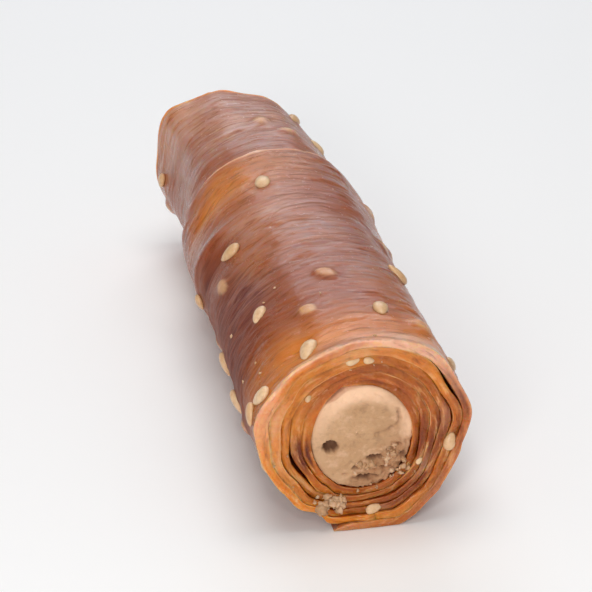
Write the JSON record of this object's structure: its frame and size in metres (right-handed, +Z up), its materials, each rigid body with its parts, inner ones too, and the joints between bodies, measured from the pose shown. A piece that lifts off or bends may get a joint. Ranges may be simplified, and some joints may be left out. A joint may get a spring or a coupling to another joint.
{
  "type": "turkish delight roll",
  "caption": "Sweet roll: an amber fruit jelly sheet with sesame seeds, wound in a spiral round a bar of pale sesame paste.",
  "frame": {"origin": "on the ground under the middle of the roll, which lies on the flat along its underside", "axes": "+Y runs along the roll, away from the cut end that shows the spiral; +Z up"},
  "size_m": [0.0251, 0.0856, 0.0239],
  "materials": {
    "fruit_jelly": "sticky satin gloss, translucent amber",
    "sesame_paste": "dry and crumbly where it is cut",
    "sesame_seed": "satin, pale cream to tan"
  },
  "bodies": {
    "root": {"rolled_sheet": "fruit_jelly", "sesame_paste_core": "sesame_paste"}
  },
  "joints": []
}
